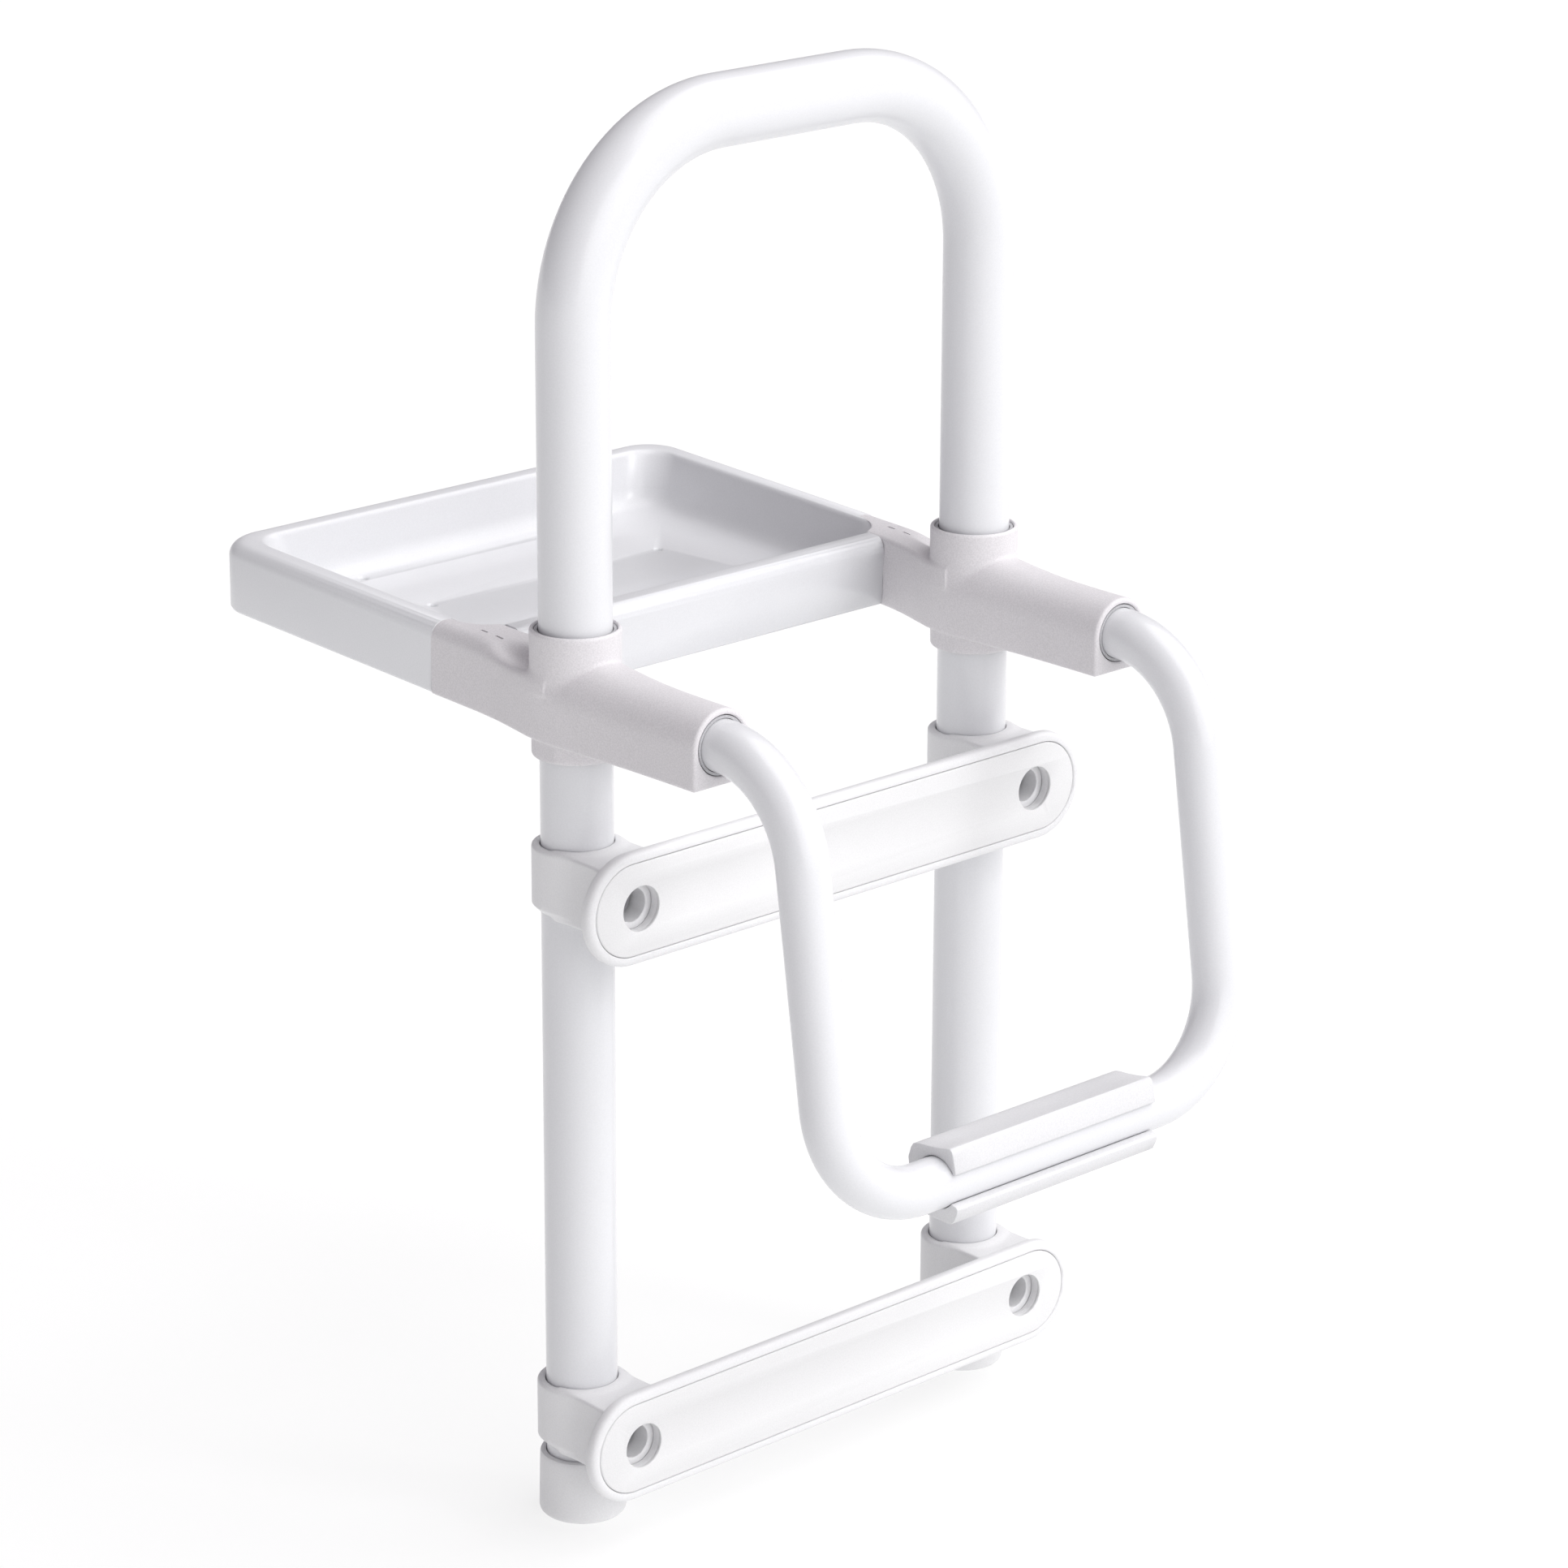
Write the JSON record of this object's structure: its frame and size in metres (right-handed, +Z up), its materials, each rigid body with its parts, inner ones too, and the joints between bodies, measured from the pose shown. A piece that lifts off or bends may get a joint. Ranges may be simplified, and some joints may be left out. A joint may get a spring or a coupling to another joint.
{
  "type": "edge-clamping grab rail with tray",
  "caption": "White tubular grab rail that clamps over a rim or side edge, with moulded brackets, a storage tray, a padded clamping bow and sliding brace plates.",
  "frame": {"origin": "mount rim_seat: on the plane of symmetry, in the plane of the two leg axes, at the height of the flat underside of the arms that rests on the rim", "axes": "+Z up along the legs, +X across from the left leg to the right leg, -Y from the legs towards the clamping bow, +Y towards the tray"},
  "size_m": [0.296, 0.4073, 0.6333],
  "materials": {
    "coated_tube": "glossy white powder coat",
    "moulded_bracket": "fine-grained matte white",
    "glossy_tray": "glossy white",
    "brace_plastic": "satin white",
    "facing_rubber": "soft matte white",
    "pad_rubber": "soft satin white",
    "bush_nylon": "moulded dark nylon",
    "screw_steel": "zinc-plated steel"
  },
  "bodies": {
    "saddle": {"left_arm_lock_screw": "screw_steel", "left_bow_bush": "bush_nylon", "left_bracket": "moulded_bracket", "left_collar_liner": "bush_nylon", "left_collar_lock_screw": "screw_steel", "left_tray_screw": "screw_steel", "right_arm_lock_screw": "screw_steel", "right_bow_bush": "bush_nylon", "right_bracket": "moulded_bracket", "right_collar_liner": "bush_nylon", "right_collar_lock_screw": "screw_steel", "right_tray_screw": "screw_steel", "storage_tray": "glossy_tray"},
    "handle_frame": {"handle_tube": "coated_tube", "left_ferrule": "brace_plastic", "right_ferrule": "brace_plastic"},
    "clamp_bow": {"bow_tube": "coated_tube", "left_bow_plug": "bush_nylon", "right_bow_plug": "bush_nylon"},
    "bow_pad": {"bow_pad": "pad_rubber"},
    "upper_brace": {"upper_brace_plate": "brace_plastic", "upper_facing_sheet": "facing_rubber", "upper_left_clamp": "moulded_bracket", "upper_left_inner_plate_screw": "screw_steel", "upper_left_lock_screw": "screw_steel", "upper_left_outer_plate_screw": "screw_steel", "upper_right_clamp": "moulded_bracket", "upper_right_inner_plate_screw": "screw_steel", "upper_right_lock_screw": "screw_steel", "upper_right_outer_plate_screw": "screw_steel"},
    "lower_brace": {"lower_brace_plate": "brace_plastic", "lower_facing_sheet": "facing_rubber", "lower_left_clamp": "moulded_bracket", "lower_left_inner_plate_screw": "screw_steel", "lower_left_lock_screw": "screw_steel", "lower_left_outer_plate_screw": "screw_steel", "lower_right_clamp": "moulded_bracket", "lower_right_inner_plate_screw": "screw_steel", "lower_right_lock_screw": "screw_steel", "lower_right_outer_plate_screw": "screw_steel"}
  },
  "joints": [
    {"name": "handle_slide", "type": "slide", "parent": "saddle", "child": "handle_frame", "axis": [0, 0, 1], "range_m": [-0.1, 0.015]},
    {"name": "bow_slide", "type": "slide", "parent": "saddle", "child": "clamp_bow", "axis": [0, -1, 0], "range_m": [0, 0.04]},
    {"name": "pad_swivel", "type": "hinge", "parent": "clamp_bow", "child": "bow_pad", "pos_m": [0, -0.16151, -0.17121], "axis": [1, 0, 0], "range_deg": [-12, 12]},
    {"name": "upper_brace_slide", "type": "slide", "parent": "handle_frame", "child": "upper_brace", "axis": [0, 0, 1], "range_m": [-0.09, 0.01]},
    {"name": "lower_brace_slide", "type": "slide", "parent": "handle_frame", "child": "lower_brace", "axis": [0, 0, 1], "range_m": [0, 0.09]}
  ]
}
